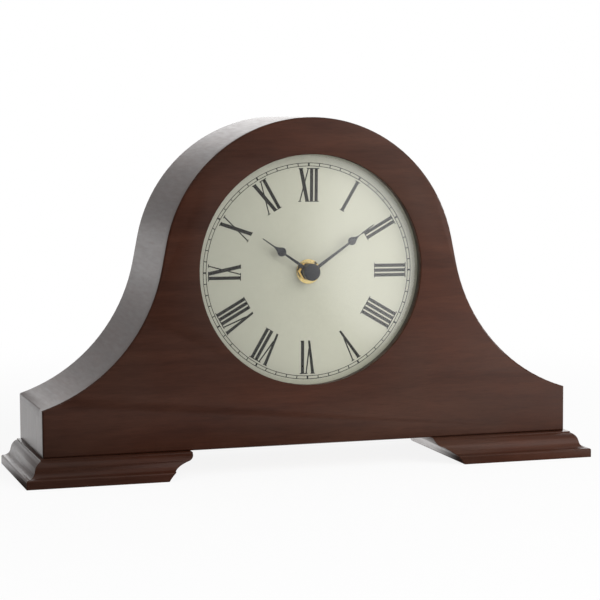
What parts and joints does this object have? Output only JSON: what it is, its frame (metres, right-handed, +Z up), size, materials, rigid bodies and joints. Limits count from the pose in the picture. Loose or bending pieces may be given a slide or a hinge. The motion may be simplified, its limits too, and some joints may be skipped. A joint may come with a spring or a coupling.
{
  "type": "tambour mantel clock",
  "caption": "Tambour mantel clock: humped wooden case on moulded feet, round dial under domed glass, geared hands, quartz chime movement and a hinged back door.",
  "frame": {"origin": "on the surface that the clock stands on, under the middle of its length and depth", "axes": "+X to the right as seen from the front, +Y from the dial to the back, +Z up"},
  "size_m": [0.382, 0.1028, 0.2294],
  "materials": {
    "case_wood": "satin lacquer over dark mahogany",
    "inner_wood": "unfinished",
    "back_panel": "stained board, matt",
    "glass": "polished",
    "dial_cream": "satin cream paint",
    "ring_dark": "matt, dark olive",
    "brass": "polished",
    "steel": "bright",
    "hand_black": "gloss black",
    "washer_rubber": "matt",
    "gear_plastic": "matt",
    "rotor_magnet": "matt",
    "movement_black": "fine texture",
    "control_black": "fine texture",
    "coil_copper": "lacquered wire",
    "board_green": "lacquered",
    "chip_black": "gloss",
    "cell_jacket": "plain printed jacket",
    "speaker_steel": "matt",
    "magnet_dark": "matt",
    "cone_paper": "matt",
    "cloth_black": "plain weave",
    "pull_wood": "satin lacquer",
    "catch_brown": "matt"
  },
  "bodies": {
    "clock": {"front_board": "case_wood", "tambour_band": "case_wood", "left_end_panel": "case_wood", "right_end_panel": "case_wood", "left_foot": "case_wood", "right_foot": "case_wood", "bottom_board": "inner_wood", "glue_blocks": "inner_wood", "back_board": "back_panel", "dial_backing_board": "back_panel", "glass_lens": "glass", "dial_plate": "dial_cream", "dial_spacer_ring": "ring_dark", "dial_washer": "brass", "bush_nut": "brass", "centre_bush": "brass", "frame_hinge_leaves": "brass", "hinge_pins": "brass", "frame_hinge_screws": "brass", "foot_screws": "steel", "dial_board_screws": "steel", "battery_spring": "steel", "battery_tab": "steel", "quartz_crystal": "steel", "stator": "steel", "rubber_washer": "washer_rubber", "movement_front_case": "movement_black", "movement_rear_cover": "movement_black", "train_bridge": "movement_black", "coil": "coil_copper", "circuit_board": "board_green", "control_chip": "chip_black", "battery_cell_left": "cell_jacket", "battery_cell_right": "cell_jacket", "speaker_frame": "speaker_steel", "speaker_magnet": "magnet_dark", "speaker_cone": "cone_paper", "magnet_catch": "catch_brown"},
    "minute_train": {"minute_arbor": "steel", "minute_hand": "hand_black", "hand_cap_nut": "hand_black"},
    "hour_train": {"hour_wheel": "gear_plastic", "hour_hand": "hand_black"},
    "setting_train": {"minute_wheel": "gear_plastic", "setting_knob": "control_black"},
    "rotor_body": {"rotor": "rotor_magnet"},
    "intermediate_body": {"intermediate_wheel": "gear_plastic"},
    "seconds_body": {"seconds_wheel": "gear_plastic"},
    "third_body": {"third_wheel": "gear_plastic"},
    "centre_body": {"centre_wheel": "gear_plastic"},
    "door": {"back_door": "back_panel", "door_hinge_leaves": "brass", "door_hinge_screws": "brass", "door_pull": "pull_wood", "strike_plate": "steel", "speaker_cloth": "cloth_black"},
    "selector": {"chime_selector": "control_black"},
    "volume": {"volume_slide": "control_black"}
  },
  "joints": [
    {"name": "minute_hand_spin", "type": "hinge", "parent": "clock", "child": "minute_train", "pos_m": [0, -0.0127, 0.129], "axis": [0, 1, 0], "continuous": true},
    {"name": "hour_hand_spin", "type": "hinge", "parent": "clock", "child": "hour_train", "pos_m": [0, -0.0127, 0.129], "axis": [0, 1, 0], "continuous": true},
    {"name": "setting_knob_spin", "type": "hinge", "parent": "clock", "child": "setting_train", "pos_m": [0, -0.0127, 0.117], "axis": [0, 1, 0], "continuous": true},
    {"name": "rotor_spin", "type": "hinge", "parent": "clock", "child": "rotor_body", "pos_m": [0.00485, -0.0127, 0.1446], "axis": [0, 1, 0], "continuous": true},
    {"name": "intermediate_spin", "type": "hinge", "parent": "clock", "child": "intermediate_body", "pos_m": [-0.00215, -0.0127, 0.1446], "axis": [0, 1, 0], "continuous": true},
    {"name": "seconds_spin", "type": "hinge", "parent": "clock", "child": "seconds_body", "pos_m": [-0.00935, -0.0127, 0.1446], "axis": [0, 1, 0], "continuous": true},
    {"name": "third_spin", "type": "hinge", "parent": "clock", "child": "third_body", "pos_m": [-0.00935, -0.0127, 0.1344], "axis": [0, 1, 0], "continuous": true},
    {"name": "centre_spin", "type": "hinge", "parent": "clock", "child": "centre_body", "pos_m": [0, -0.0127, 0.129], "axis": [0, 1, 0], "continuous": true},
    {"name": "back_door_hinge", "type": "hinge", "parent": "clock", "child": "door", "pos_m": [-0.0616, 0.0477, 0.127], "axis": [0, 0, 1], "range_deg": [0, 110]},
    {"name": "chime_selector_slide", "type": "slide", "parent": "clock", "child": "selector", "axis": [1, 0, 0], "range_m": [0, 0.006]},
    {"name": "volume_slide_travel", "type": "slide", "parent": "clock", "child": "volume", "axis": [1, 0, 0], "range_m": [0, 0.006]}
  ],
  "couplings": [
    {"joint": "hour_hand_spin", "follows": "minute_hand_spin", "ratio": 0.083333},
    {"joint": "setting_knob_spin", "follows": "minute_hand_spin", "ratio": -0.33333},
    {"joint": "intermediate_spin", "follows": "rotor_spin", "ratio": -0.16667},
    {"joint": "seconds_spin", "follows": "rotor_spin", "ratio": 0.033333},
    {"joint": "third_spin", "follows": "rotor_spin", "ratio": -0.0044444},
    {"joint": "centre_spin", "follows": "rotor_spin", "ratio": 0.00055556}
  ]
}
